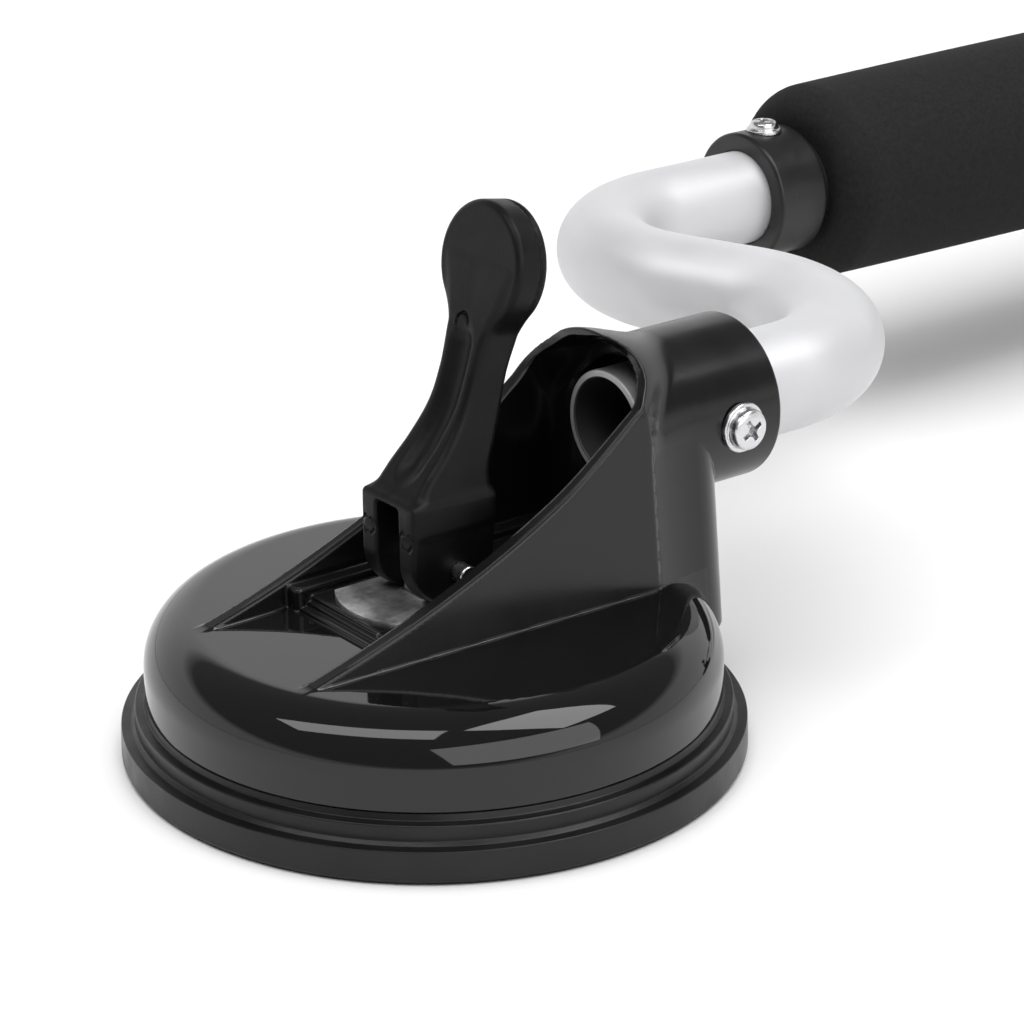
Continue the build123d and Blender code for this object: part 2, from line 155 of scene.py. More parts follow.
def skin(field, xs, ys, zs, passes=4):
    """Quads over field = 0 on a grid of lines (surface nets), with the field's own normals."""
    value = np.stack([field(np.full((1, 1), x), ys[:, None], zs[None, :]) for x in xs])
    solid = value < 0
    low = [slice(None, -1)] * 3
    count = np.zeros([n - 1 for n in value.shape], np.int8)
    for corner in np.ndindex(2, 2, 2):
        count += solid[tuple(slice(c, c - 1 or None) for c in corner)]
    cell = np.argwhere((count > 0) & (count < 8))
    number = np.full(count.shape, -1)
    number[tuple(cell.T)] = np.arange(len(cell))
    lines = (xs, ys, zs)
    total, hits = np.zeros((len(cell), 3)), np.zeros(len(cell))
    for axis in range(3):
        others = [a for a in range(3) if a != axis]
        for offset in np.ndindex(2, 2):
            start = cell.copy()
            start[:, others] += offset
            end = start.copy()
            end[:, axis] += 1
            f0, f1 = value[tuple(start.T)], value[tuple(end.T)]
            crossed = (f0 < 0) != (f1 < 0)
            t = np.where(crossed, f0 / np.where(crossed, f0 - f1, 1), 0)
            for a in range(3):
                at = lines[a][start[:, a]]
                if a == axis:
                    at = at + t * (lines[a][end[:, a]] - at)
                total[:, a] += np.where(crossed, at, 0)
            hits += crossed
    points = total / hits[:, None]
    quads = []
    for axis in range(3):
        b, c = [(axis + 1) % 3, (axis + 2) % 3]
        ahead, here = list(low), list(low)
        ahead[axis], here[axis] = slice(1, None), slice(None, -1)
        for a in (b, c):
            ahead[a] = here[a] = slice(1, -1)
        first, second = solid[tuple(here)], solid[tuple(ahead)]
        edge = np.argwhere(first != second)
        outward = first[tuple(edge.T)]
        edge[:, b] += 1
        edge[:, c] += 1
        ring = []
        for db, dc in ((-1, -1), (0, -1), (0, 0), (-1, 0)):
            near = edge.copy()
            near[:, b] += db
            near[:, c] += dc
            ring.append(number[tuple(near.T)])
        quad = np.stack(ring, 1)
        quad[~outward] = quad[~outward][:, ::-1]
        quads.append(quad)
    quads = np.concatenate(quads)
    reach = np.array([np.diff(line).min() for line in lines]).max()
    for _ in range(passes):
        grow = slope_of(field, points)
        size = np.maximum((grow ** 2).sum(1), 1e-3)
        move = grow * (field(*points.T) / size)[:, None]
        far = np.linalg.norm(move, axis=1)
        points -= move * np.minimum(1, reach / np.maximum(far, 1e-9))[:, None] * 0.9
    normals = slope_of(field, points)
    normals /= np.maximum(np.linalg.norm(normals, axis=1), 1e-9)[:, None]
    return points, quads, normals


def spaced(*stops):
    """Grid lines through (start, end, pitch) stretches."""
    lines = [np.linspace(a, b, int(round((b - a) / pitch)), endpoint=False) for a, b, pitch in stops]
    return np.append(np.concatenate(lines), stops[-1][1])


def rounded_outline(corners, steps=7):
    """(r, z, normal r, normal z) along a closed outline of (r, z, corner radius), solid on its left."""
    out = []
    n = len(corners)
    for i, (r, z, radius) in enumerate(corners):
        here = Vector((r, z))
        before = (Vector(corners[i - 1][:2]) - here).normalized()
        after = (Vector(corners[(i + 1) % n][:2]) - here).normalized()
        turn = math.pi - before.angle(after)
        trim = radius * math.tan(turn / 2)
        start, end = here + before * trim, here + after * trim
        first = Vector((-before.y, before.x))
        side = 1 if (-before).cross(after) > 0 else -1
        centre = start - first * radius * side
        for k in range(steps + 1):
            angle = side * turn * k / steps
            c, s = math.cos(angle), math.sin(angle)
            normal = Vector((first.x * c - first.y * s, first.x * s + first.y * c))
            point = centre + normal * radius * side
            out.append((point.x, point.y, normal.x, normal.y))
        out[-1] = (end.x, end.y, out[-1][2], out[-1][3])
    return np.array(out)


def ring_quads(segments, rows):
    """Quads between rows of points round a closed outline, for a number of segments."""
    i, j = np.meshgrid(np.arange(segments), np.arange(rows), indexing="ij")
    i2, j2 = (i + 1) % segments, (j + 1) % rows
    return np.stack([i * rows + j, i2 * rows + j, i2 * rows + j2, i * rows + j2], 2).reshape(-1, 4)


def turned(outline, segments=192):
    """Body of revolution about Z from rounded_outline's points."""
    angle = np.arange(segments) * 2 * math.pi / segments
    c, s = np.cos(angle)[:, None], np.sin(angle)[:, None]
    r, z, nr, nz = outline.T
    points = np.stack([r * c, r * s, z + 0 * c], 2).reshape(-1, 3)
    normals = np.stack([nr * c, nr * s, nz + 0 * c], 2).reshape(-1, 3)
    return points, ring_quads(segments, len(outline)), normals


def along_x(shape):
    """Turn a shape about Z so that it runs along +X."""
    points, quads, normals = shape
    order = [2, 0, 1]
    return points[:, order], quads, normals[:, order]


def moved(shape, x=0.0, y=0.0, z=0.0):
    points, quads, normals = shape
    return points + np.array([x, y, z]), quads, normals


def piece(name, shape, matrix, body, nodes, materials, mirror=False, pick=None):
    """Object from a shape in millimetres, placed, riding on a body and replacing CAD nodes."""
    points, quads, normals = shape
    turn = np.array(matrix.to_3x3())
    if mirror:
        turn = turn @ np.diag([-1.0, 1.0, 1.0])
        quads = quads[:, ::-1]
    verts = (points * MM) @ turn.T + np.array(matrix.translation)
    mesh = bpy.data.meshes.new(name)
    mesh.from_pydata(verts.tolist(), [], quads.tolist())
    mesh.validate()
    mesh.shade_smooth()
    mesh.normals_split_custom_set_from_vertices((normals @ turn.T).tolist())
    for material in materials:
        mesh.materials.append(material)
    if pick is not None:
        centres = points[quads].mean(axis=1)
        mesh.polygons.foreach_set("material_index", pick(*centres.T).astype(np.int32))
    obj = bpy.data.objects.new(name, mesh)
    bpy.context.collection.objects.link(obj)
    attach(obj, body)
    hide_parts(*nodes)
    return obj


# ------------------------------------------------------------------ housing
CAP_R = 55.1
CAP_TOP = 28.0
CAP_SHOULDER = 10.0
CAP_WALL = 2.6
WALL_FRONT_X = -41.0
WALL_FRONT_HALF = 18.6
WALL_SPREAD = 3.2 / 79        # the walls grow wider towards the tower
WALL_DRAFT = math.tan(math.radians(5.5))
SWEEP_AT = (-104.0, 279.9)    # x and height of the centre of the arc that starts the walls' edge
SWEEP_R = 259.7
SLOPE_AT = (21.0, 52.3)       # x and height of a point on the straight rest of the edge
SLOPE = 0.775
CHANNEL_HALF = 15.4
BACK_WALL_X = 46.0
PILLAR_BACK_X = 59.5
PILLAR_DRAFT = 0.107          # the pillar grows wider towards its foot
SOCKET_R = 16.6
FLARE = 3.9                   # how far the hood's lip stands out past the socket
PILLAR_FLARE = 2.3            # the same for the pillar, at HOOD_X
HOOD_X = 38.0
SCOOP_AT = (35.7, 69.9)       # x and height of the middle of the lip's scoop
PLATFORM_X = -20.4
PLATFORM_HALF = 15.9
PLATFORM_TOP = 29.8
HUB_R = 12.0
TRIM = 1.3                    # the tower is cut back to this far under the cap's surface


def wall_half(x, z):
    """Half the distance between the walls' outer faces, which lean in towards the top."""
    return WALL_FRONT_HALF + (x - WALL_FRONT_X) * WALL_SPREAD - (z - CAP_TOP) * WALL_DRAFT


def wall_edge(x):
    """Height of the walls' edge: a long sweep that runs into a straight slope."""
    sweep = SWEEP_AT[1] - np.sqrt(SWEEP_R ** 2 - (x - SWEEP_AT[0]) ** 2)
    slope = SLOPE_AT[1] + SLOPE * (x - SLOPE_AT[0])
    return (sweep + slope + np.sqrt((sweep - slope) ** 2 + 1.6)) / 2


def flare(x, z):
    """How far the hood and the pillar stand out past the socket here."""
    crest = ease((z - AXIS - 4.0) / 14.0)
    hood = FLARE * (1 - ease((x - 35.6) / (7.0 + 11.0 * crest)))
    taper = PILLAR_FLARE * (1 - np.clip((x - HOOD_X) / 14.0, 0, 1)) ** 2
    pillar = np.where(x < HOOD_X, np.minimum(HOOD_X + PILLAR_FLARE - x, FLARE), taper)
    mix = ease((z - AXIS + 2.0) / 16.0)
    return pillar + (hood - pillar) * mix


def wall_top(x, y, z):
    """Everything under the walls' sloping edge, or behind the hood's scooped lip."""
    below = (z - wall_edge(x)) / 1.2
    far_side = ease((y + 8.0) / 16.0)
    scoop_r = 5.3 - 2.4 * far_side
    lip = both(HOOD_X - x, scoop_r - np.hypot(x - SCOOP_AT[0], z - SCOOP_AT[1]), 0.4)
    return join(below, lip, 3.0 + 2.5 * far_side)


def tower(x, y, z):
    """Walls, hood, pillar and socket before they are hollowed."""
    side = np.abs(y)
    rho = np.hypot(y, z - AXIS)
    face = side - wall_half(x, z)
    pillar_half = SOCKET_R + PILLAR_DRAFT * np.maximum(AXIS - z, 0)
    spread = flare(x, z)
    column = soft_max(side - pillar_half - spread, face, 0.6)
    column = both(x - PILLAR_BACK_X, column, 9.0)
    hood = soft_max(rho - SOCKET_R - spread, face, 0.6)
    hood = np.maximum(hood, x - PILLAR_BACK_X + 2)
    body = np.where(z < AXIS, column, hood)
    body = both(body, wall_top(x, y, z), 0.45)
    body = both(body, -45.0 - x)
    barrel = both(both(rho - SOCKET_R, x - SOCKET_END, 0.7), BACK_WALL_X - x)
    return join(body, barrel, np.where(z < AXIS, 0.5 * ease((x - 57.0) / 2.0), 0))


def channel(x, y, z):
    """Open space between the walls, under the hood's arch."""
    side = np.abs(y)
    rho = np.hypot(y, z - AXIS)
    plan = both(x - BACK_WALL_X, side - CHANNEL_HALF, 7.0)
    arch = SOCKET_R - 1.7 + flare(x + 1.0, z)
    roof = np.where(z > AXIS, rho - arch, side - arch)
    return np.maximum(both(plan, roof, 1.0), CAP_TOP - 4 - z)


def platform(x, y, z):
    """Raised floor between the walls: step, border round the wear plate, and side ledges."""
    side = np.abs(y)
    floor = both(both(side - PLATFORM_HALF, PLATFORM_X - x, 0.4), z - PLATFORM_TOP, 0.5)
    step = both(both(side - PLATFORM_HALF, PLATFORM_X - 1.7 - x, 0.4), z - CAP_TOP - 0.9, 0.4)
    recess = both(np.hypot(x, y) - PLATE_R - 0.4, side - PLATE_HALF - 0.4, 1.5)
    border = both(both(side - PLATFORM_HALF, PLATFORM_X + 0.8 - x, 0.5), z - PLATE_TOP + 0.5, 0.4)
    border = cut(border, recess, 0.3)
    ledge = both(both(12.2 - side, PLATFORM_X - 2.4 - x, 1.4), z - PLATE_TOP - 1.2, 0.7)
    ledge = both(ledge, side - PLATFORM_HALF)
    base = CAP_TOP - 1.5 - z
    raised = join(join(floor, step), join(border, ledge, 0.4))
    return both(both(raised, base), x - BACK_WALL_X - 1)


def cavity(x, y, z):
    """Hollow of the cap, with its ribs and the hub left standing."""
    r = np.hypot(x, y)
    ceiling = CAP_TOP - CAP_WALL
    hollow = both(r - CAP_R + CAP_WALL, z - ceiling, CAP_SHOULDER - CAP_WALL)
    sector = math.radians(60)
    angle = np.mod(np.arctan2(y, x), sector) - sector / 2
    rib = np.maximum(np.abs(r * np.sin(angle)) - 1.0, ceiling - 7.0 - z)
    rib = np.maximum(rib, HUB_R - r)
    hub = np.maximum(np.abs(r - HUB_R) - 1.2, ceiling - 6.5 - z)
    return cut(hollow, np.minimum(rib, hub), 0.4)


def housing(x, y, z):
    """Cap and tower in one, with the holes for the tube, the screw and the stud."""
    r = np.hypot(x, y)
    side = np.abs(y)
    rho = np.hypot(y, z - AXIS)
    cap = both(both(r - CAP_R, z - CAP_TOP, CAP_SHOULDER), CAP_LOW - z, 0.5)
    cap = cut(cap, cavity(x, y, z), 0.4)
    top = cut(tower(x, y, z), channel(x, y, z), 0.45)
    inside = both(r - CAP_R + TRIM, z - CAP_TOP + TRIM, CAP_SHOULDER - TRIM)
    top = cut(both(top, CAP_LOW + 3 - z, 0.6), inside)
    body = join(cap, top, 0.35)
    body = join(body, platform(x, y, z), 0.3)
    pillar_hollow = both(both(np.abs(x - 52.5) - 3.5, side - 12.0, 1.0), z - AXIS + 18.0, 1.0)
    body = cut(body, pillar_hollow)
    tube_hole = both(rho - TUBE_R - 0.08, BACK_WALL_X - 4 - x)
    body = cut(body, tube_hole, 0.4)
    counterbore = both(rho - TUBE_R - 2.1, np.abs(x - 47.0) - 3.0)
    body = cut(body, counterbore, 0.5)
    screw_hole = both(np.hypot(x - SCREW_X, z - AXIS) - 2.05, y)
    body = cut(body, screw_hole)
    fold = np.mod(np.arctan2(y, z - AXIS), math.radians(45)) - math.radians(22.5)
    pocket = np.maximum(np.abs(rho - 13.9) - 0.95, SOCKET_END - 5.0 - x)
    pocket = cut(pocket, np.abs(rho * np.sin(fold)) - 1.1, 0.3)
    body = cut(body, pocket, 0.25)
    stud_guide = both(both(np.abs(x) - 5.1, side - 3.5, 0.5), z - 40.0)
    return cut(body, stud_guide, 0.3)


def wall_bead(side, inset, start, end, radius=0.32, segments=12):
    """Fine raised line along the sloping edge of one wall, inset from its outer face."""
    x = np.linspace(start, end, 160)
    z = wall_edge(x) - 0.1
    y = side * (wall_half(x, z) - inset)
    rise = np.gradient(z, x)
    scale = np.sqrt(1 + rise ** 2)
    up = np.stack([-rise / scale, 0 * x, 1 / scale], 1)
    across = np.array([0.0, 1.0, 0.0])
    angle = np.arange(segments) * 2 * math.pi / segments
    normals = np.cos(angle)[:, None, None] * across + np.sin(angle)[:, None, None] * up
    fade = radius * np.sqrt(np.clip(np.minimum(x - start, end - x) / 3.0, 0.02, 1))[None, :, None]
    points = np.stack([x, y, z], 1) + normals * fade
    n = len(x)
    i, j = np.meshgrid(np.arange(segments), np.arange(n - 1), indexing="ij")
    i2 = (i + 1) % segments
    quads = np.stack([i * n + j, i2 * n + j, i2 * n + j + 1, i * n + j + 1], 2).reshape(-1, 4)
    return points.reshape(-1, 3), quads, normals.reshape(-1, 3)


def together(*shapes):
    """One shape out of several."""
    offset, quads = 0, []
    for points, faces, _ in shapes:
        quads.append(faces + offset)
        offset += len(points)
    return (np.concatenate([shape[0] for shape in shapes]), np.concatenate(quads),
            np.concatenate([shape[2] for shape in shapes]))


def housing_shape():
    xs = spaced((-56.4, -42, 0.8), (-42, 74.0, 0.55))
    inner = [(-23.2, -14.6, 0.45), (-14.6, 14.6, 0.65), (14.6, 23.2, 0.45)]
    ys = spaced((-56.4, -23.2, 1.0), *inner, (23.2, 56.4, 1.0))
    zs = spaced((11.2, 12.4, 0.24), (12.4, 26.8, 0.8), (26.8, 32.8, 0.4), (32.8, 76.0, 0.5))
    beads = [wall_bead(-1, 0.75, -33.0, 37.0), wall_bead(1, 2.3, -33.0, 29.0)]
    return together(skin(housing, xs, ys, zs), *beads)


# ------------------------------------------------------------------ lever
LEVER_HALF = 8.3
LEVER_FRONT = 10.4
CAM_GAP = 0.25
CAM_LOW = PIN_Z - PLATE_TOP - CAM_GAP
CAM_RISE = (LEVER_FRONT - CAM_LOW) / (math.pi / 2)
BLOCK_TOP = 51.5
SLOT_HALF = 3.5
PADDLE_R = 12.0
PADDLE_T = 7.0
PADDLE_AT = (11.3, 92.9)
PADDLE_LEAN = math.radians(10)

ARM_COS = 0.88                # the arm leans, so depth square to it is this part of a depth along X
# arm sections: height, front x, rear x, half width
ARM_Z = (46.0, 51.0, 55.5, 60.5, 66.5, 73.0, 80.0, 87.0, 93.0)
ARM_FRONT = (-9.2, -9.0, -6.0, -1.4, 2.8, 5.4, 7.6, 10.7, 12.6)
ARM_REAR = (8.8, 9.0, 9.0, 10.6, 12.6, 14.4, 16.8, 18.0, 18.2)
ARM_HALF = (7.9, 7.6, 7.1, 6.6, 5.9, 5.6, 6.1, 7.9, 10.0)


def cam_block(x, y, z):
    """Block round the pin; its support distance grows evenly from the bottom to the front."""
    outline = x - 7.8 - 0.07 * (z - 31.5)
    for step in range(31):
        angle = math.radians(3 * step)
        reach = CAM_LOW + CAM_RISE * angle
        face = -x * math.sin(angle) - (z - PIN_Z) * math.cos(angle) - reach
        outline = np.maximum(outline, face)
    crown = z - BLOCK_TOP - 0.6 + 0.05 * (x + LEVER_FRONT)
    outline = both(outline, crown, 1.1)
    return both(outline, np.abs(y) - LEVER_HALF, 0.9)


def arm(x, y, z):
    """Arm that sweeps up and back, with a flute down its front."""
    front = through(z, ARM_Z, ARM_FRONT)
    rear = through(z, ARM_Z, ARM_REAR)
    half = through(z, ARM_Z, ARM_HALF)
    depth = both(front - x, x - rear, 0.5) * ARM_COS
    body = both(depth, np.abs(y) - half, 1.7)
    body = both(body, both(ARM_Z[0] - z, z - ARM_Z[-1]), 0.5)
    fade = 2.4 * (1 - ease((z - 52.0) / 5.0) * (1 - ease((z - 78.0) / 7.0)))
    flute = np.hypot((x - front) * ARM_COS + 2.3 + fade, y) - 3.7
    return cut(body, flute, 0.7)


def paddle(x, y, z):
    """Thumb disc with a rounded rim and a parting line near its rear edge."""
    dx, dz = x - PADDLE_AT[0], z - PADDLE_AT[1]
    depth = dx * math.cos(PADDLE_LEAN) - dz * math.sin(PADDLE_LEAN)
    rise = dx * math.sin(PADDLE_LEAN) + dz * math.cos(PADDLE_LEAN)
    rim = np.hypot(rise, y) - PADDLE_R
    disc = both(both(rim, -depth, 1.3), depth - PADDLE_T, 1.0)
    return cut(disc, np.hypot(rim, depth - PADDLE_T + 1.7) - 0.28, 0.15)


def lever(x, y, z):
    body = join(cam_block(x, y, z), arm(x, y, z), 1.7)
    body = join(body, paddle(x, y, z), 2.0)
    slot = both(np.abs(y) - SLOT_HALF, x - 5.4, 0.8)
    slot = both(slot, z - 50.6, 0.8)
    body = cut(body, slot, 0.7)
    body = cut(body, np.hypot(x, z - PIN_Z) - PIN_R - 0.02)
    for centre in (-5.9, 5.9):
        mark = np.hypot(y - centre, z - 45.0) - 1.8
        body = cut(body, both(np.abs(mark) - 0.25, x + LEVER_FRONT - 0.16), 0.12)
    skin_x = through(z, ARM_Z, ARM_FRONT)
    mark = both(np.abs(np.hypot(y - 1.3, z - 82.0) - 1.6) - 0.25, x - skin_x - 0.22)
    return cut(body, mark, 0.15)


def lever_shape():
    xs = spaced((-11.6, 20.0, 0.36))
    ys = spaced((-12.9, 12.9, 0.36))
    zs = spaced((30.6, 105.8, 0.4))
    return skin(lever, xs, ys, zs)


# ------------------------------------------------------------------ screws
SOCKET_SCREW_HEAD = (5.0, 3.6)        # radius and height
COLLAR_SCREW_HEAD = (4.2, 3.0)


def screw_field(head_r, head_h, length):
    """Flanged pan-head screw with a cross recess: seat at z = 0, shank down -Z."""
    def field(x, y, z):
        r = np.hypot(x, y)
        flange = both(both(r - head_r, z - 1.0, 0.35), -z, 0.2)
        dome = both(both(r - head_r + 0.9, z - head_h, 1.5), -z)
        top = np.hypot(r, z - head_h + 13.0) - 13.0
        head = join(flange, both(dome, top, 0.3), 0.35)
        shank = both(both(r - 2.0, z - 0.5), -length - z, 0.3)
        turn = math.radians(30)
        u = np.abs(x * math.cos(turn) + y * math.sin(turn))
        v = np.abs(y * math.cos(turn) - x * math.sin(turn))
        taper = 0.22 * (z - head_h)
        wing = np.minimum(np.maximum(u - 2.45 - taper, v - 0.5 - taper * 0.3),
                          np.maximum(v - 2.45 - taper, u - 0.5 - taper * 0.3))
        heart = (u + v) * 0.707 - 1.05 - taper * 0.5
        recess = both(join(wing, heart, 0.15), head_h - 2.1 - z, 0.2)
        return cut(join(head, shank), recess, 0.15)
    return field


def screw_shape(head_r, head_h, length):
    across = spaced((-head_r - 0.3, head_r + 0.3, 0.16))
    up = spaced((-length - 0.4, -0.4, 0.4), (-0.4, head_h + 0.3, 0.13))
    return skin(screw_field(head_r, head_h, length), across, across, up, passes=3)


# ------------------------------------------------------------------ rubber, collar, pin, foam, tube
COLLAR_SEAT_DEPTH = 0.5       # depth of the flat under the collar's screw
FOAM_CROWN = 1.1              # how much the foam's radius grows towards its middle
FOAM_END_ROUND = 8.0
FOAM_BORE = 13.05             # radius of the hole
TUBE_WALL = 1.6
TUBE_EDGE = 0.35              # rounding of the cut ends
PAINTED_SHADE_DEPTH = 0.9              # the bore's painted-shade material, much darker than the outside, starts this far in from the outer face
TUBE_BEND_R = 31.5
TUBE_BEND_TURN = math.radians(111.0)
BEND_X = 87.7                 # where the first bend starts, from the foot's axis


def pad_shape():
    """Rubber cup: flat sealing lip, groove, raised ring and the shoulder under the cap."""
    underside = [(0.01, 2.2, 0.0), (47.8, 2.2, 0.8), (50.2, 0.0, 0.6)]
    lip = [(PAD_R - 0.8, 0.0, 0.5), (PAD_R, 1.0, 0.7), (PAD_R - 0.2, 6.6, 0.22), (57.9, 6.7, 0.35)]
    ring = [(57.2, 7.4, 0.35), (57.1, 10.3, 0.35), (55.3, 10.4, 0.3), (54.9, CAP_LOW, 0.2)]
    inside = [(51.6, CAP_LOW, 0.4), (49.4, 8.6, 0.6), (44.0, 6.0, 0.6), (0.01, 6.0, 0.0)]
    return turned(rounded_outline(underside + lip + ring + inside), 256)


def collar(x, y, z):
    """Stop collar along +X, with a spot face and a hole for its screw on top."""
    rho = np.hypot(y, z)
    body = both(both(rho - COLLAR_R, np.abs(x) - COLLAR_LENGTH / 2, 0.9), TUBE_R + 0.05 - rho, 0.3)
    r = np.hypot(x, y)
    body = cut(body, both(r - 4.4, COLLAR_R - COLLAR_SEAT_DEPTH - z), 0.25)
    return cut(body, both(r - 2.05, -z), 0.1)


def collar_shape():
    half = COLLAR_LENGTH / 2 + 0.4
    around = spaced((-COLLAR_R - 0.4, COLLAR_R + 0.4, 0.4))
    return skin(collar, spaced((-half, half, 0.36)), around, around, passes=3)


def pin_shape():
    outline = [(0.01, -PIN_HALF, 0), (PIN_R, -PIN_HALF, 0.45), (PIN_R, PIN_HALF, 0.45), (0.01, PIN_HALF, 0)]
    points, quads, normals = turned(rounded_outline(outline, 4), 48)
    order = [0, 2, 1]
    return points[:, order], quads[:, ::-1], normals[:, order]


def foam_shape():
    """Barrel-shaped sleeve with round ends."""
    end_r = FOAM_R - FOAM_CROWN
    rows = [(FOAM_BORE, -FOAM_HALF, 0, -1), (end_r - FOAM_END_ROUND, -FOAM_HALF, 0, -1)]
    steps = 12
    for k in range(1, steps + 1):
        angle = math.pi / 2 * k / steps
        out, back = math.sin(angle), math.cos(angle)
        rows.append((end_r - FOAM_END_ROUND * (1 - out), -FOAM_HALF + FOAM_END_ROUND * (1 - back),
                     out, -back))
    body = FOAM_HALF - FOAM_END_ROUND
    count = 90
    for k in range(1, count):
        z = -body + 2 * body * k / count
        rows.append((end_r + FOAM_CROWN * (1 - (z / body) ** 2), z, 1, 2 * FOAM_CROWN * z / body ** 2))
    rows += [(r, -z, nr, -nz) for r, z, nr, nz in reversed(rows[:steps + 2])]
    return turned(np.array(rows), 224)


def tube_path():
    """(distance, x, y, heading) along the tube's centre line, as an array, and its length."""
    turn = TUBE_BEND_TURN
    reach = TUBE_BEND_R * math.tan(turn / 2)
    leg = GRIP_OFFSET / math.sin(turn) - 2 * reach
    grip = FOOT_X / MM - BEND_X - reach - GRIP_OFFSET / math.tan(turn) - reach
    arc = TUBE_BEND_R * turn
    first_half = [(BEND_X - TUBE_START, 0), (arc, 1), (leg, 0), (arc, -1)]
    at = np.array([-FOOT_X / MM + TUBE_START, FOOT_Y / MM])
    heading, travelled, path = 0.0, 0.0, []
    for length, way in first_half + [(2 * grip, 0)] + first_half[::-1]:
        steps = 40 if way else max(2, int(length / 8))
        for part in np.linspace(0, length, steps + 1):
            new = heading + way * part / TUBE_BEND_R
            if way:
                step = np.array([math.sin(new) - math.sin(heading), math.cos(heading) - math.cos(new)])
                here = at + TUBE_BEND_R * way * step
            else:
                here = at + part * np.array([math.cos(heading), math.sin(heading)])
            path.append((travelled + part, *here, new))
        at, heading = here, new
        travelled += length
        path.pop()
    path.append((travelled, *at, heading))
    return np.array(path), travelled


def tube_section(stops, total):
    """(distance, radius, normal along, normal outward) round the wall: out, end, bore, other end."""
    inner, quarter = TUBE_R - TUBE_WALL, [math.pi / 2 * k / 4 for k in range(5)]
    outer = [(t, TUBE_R, 0, 1) for t in stops if TUBE_EDGE < t < total - TUBE_EDGE]
    end = [(total - TUBE_EDGE * (1 - math.sin(a)), TUBE_R - TUBE_EDGE * (1 - math.cos(a)),
            math.sin(a), math.cos(a)) for a in quarter]
    end += [(total - TUBE_EDGE * (1 - math.cos(a)), inner + TUBE_EDGE * (1 - math.sin(a)),
             math.cos(a), -math.sin(a)) for a in quarter]
    bore_rows = [(t, inner, 0, -1) for t, *_ in reversed(outer)]
    start = [(total - t, r, -along, outward) for t, r, along, outward in reversed(end)]
    return np.array(outer + end + bore_rows + start)


def tube_shape(segments=96):
    """Bent tube with open, lightly rounded ends, swept with its exact normals."""
    path, total = tube_path()
    t, radius, along, outward = tube_section(path[:, 0], total).T
    x, y, heading = (np.interp(t, path[:, 0], path[:, column]) for column in (1, 2, 3))
    angle = np.arange(segments)[:, None] * 2 * math.pi / segments
    level, up = np.cos(angle), np.sin(angle)
    across_x, across_y = -np.sin(heading), np.cos(heading)
    points = np.stack([x + radius * level * across_x, y + radius * level * across_y,
                       AXIS + radius * up], 2)
    normals = np.stack([outward * level * across_x + along * np.cos(heading),
                        outward * level * across_y + along * np.sin(heading),
                        outward * up + 0 * heading], 2)
    return points.reshape(-1, 3), ring_quads(segments, len(t)), normals.reshape(-1, 3)


# ------------------------------------------------------------------ materials
class Surface:
    """Principled material with short helpers for its procedural parts."""

    def __init__(self, name, color, roughness, metallic=0.0, ior=1.5):
        self.material = bpy.data.materials.new(name)
        self.material.use_nodes = True
        self.nodes = self.material.node_tree.nodes
        self.links = self.material.node_tree.links
        self.shader = self.nodes["Principled BSDF"]
        self.set("Base Color", (*color, 1))
        self.set("Roughness", roughness)
        self.set("Metallic", metallic)
        self.set("IOR", ior)
        self.place = self.nodes.new("ShaderNodeTexCoord").outputs["Object"]

    def set(self, socket, value):
        self.shader.inputs[socket].default_value = value

    def noise(self, scale, detail=4.0, rough=0.55, stretch=None):
        node = self.nodes.new("ShaderNodeTexNoise")
        node.inputs["Scale"].default_value = scale
        node.inputs["Detail"].default_value = detail
        node.inputs["Roughness"].default_value = rough
        source = self.place
        if stretch:
            mapping = self.nodes.new("ShaderNodeMapping")
            mapping.inputs["Scale"].default_value = stretch
            self.links.new(source, mapping.inputs["Vector"])
            source = mapping.outputs["Vector"]
        self.links.new(source, node.inputs["Vector"])
        return node.outputs["Fac"]

    def between(self, value, low, high):
        """Stretch a noise's usual range, 0.3 to 0.7, from low to high."""
        node = self.nodes.new("ShaderNodeMapRange")
        for socket, number in zip(("From Min", "From Max", "To Min", "To Max"), (0.3, 0.7, low, high)):
            node.inputs[socket].default_value = number
        self.links.new(value, node.inputs["Value"])
        return node.outputs["Result"]

    def ramp(self, value, *stops):
        node = self.nodes.new("ShaderNodeValToRGB")
        elements = node.color_ramp.elements
        while len(elements) < len(stops):
            elements.new(0.5)
        for element, (at, color) in zip(elements, stops):
            element.position = at
            element.color = (*color, 1)
        self.links.new(value, node.inputs["Fac"])
        return node.outputs["Color"]

    def drive(self, socket, value):
        self.links.new(value, self.shader.inputs[socket])

    def bump(self, height, depth, strength=1.0):
        node = self.nodes.new("ShaderNodeBump")
        node.inputs["Strength"].default_value = strength
        node.inputs["Distance"].default_value = depth
        self.links.new(height, node.inputs["Height"])
        self.links.new(node.outputs["Normal"], self.shader.inputs["Normal"])


def grey(value):
    return (value, value, value * 1.02)


def polished_black():
    """Cap: mirror-like moulding with the faintest haze and orange peel."""
    s = Surface("polished_black", grey(0.005), 0.03)
    s.drive("Roughness", s.between(s.noise(55, 5), 0.02, 0.05))
    s.bump(s.noise(160, 2), 0.00001)
    return s.material


def satin_black():
    """Walls, tower and socket: the same plastic from a finely textured part of the mould."""
    s = Surface("satin_black", grey(0.006), 0.22, ior=1.44)
    s.drive("Roughness", s.between(s.noise(90, 5), 0.18, 0.26))
    s.bump(s.noise(900, 3), 0.00001)
    return s.material


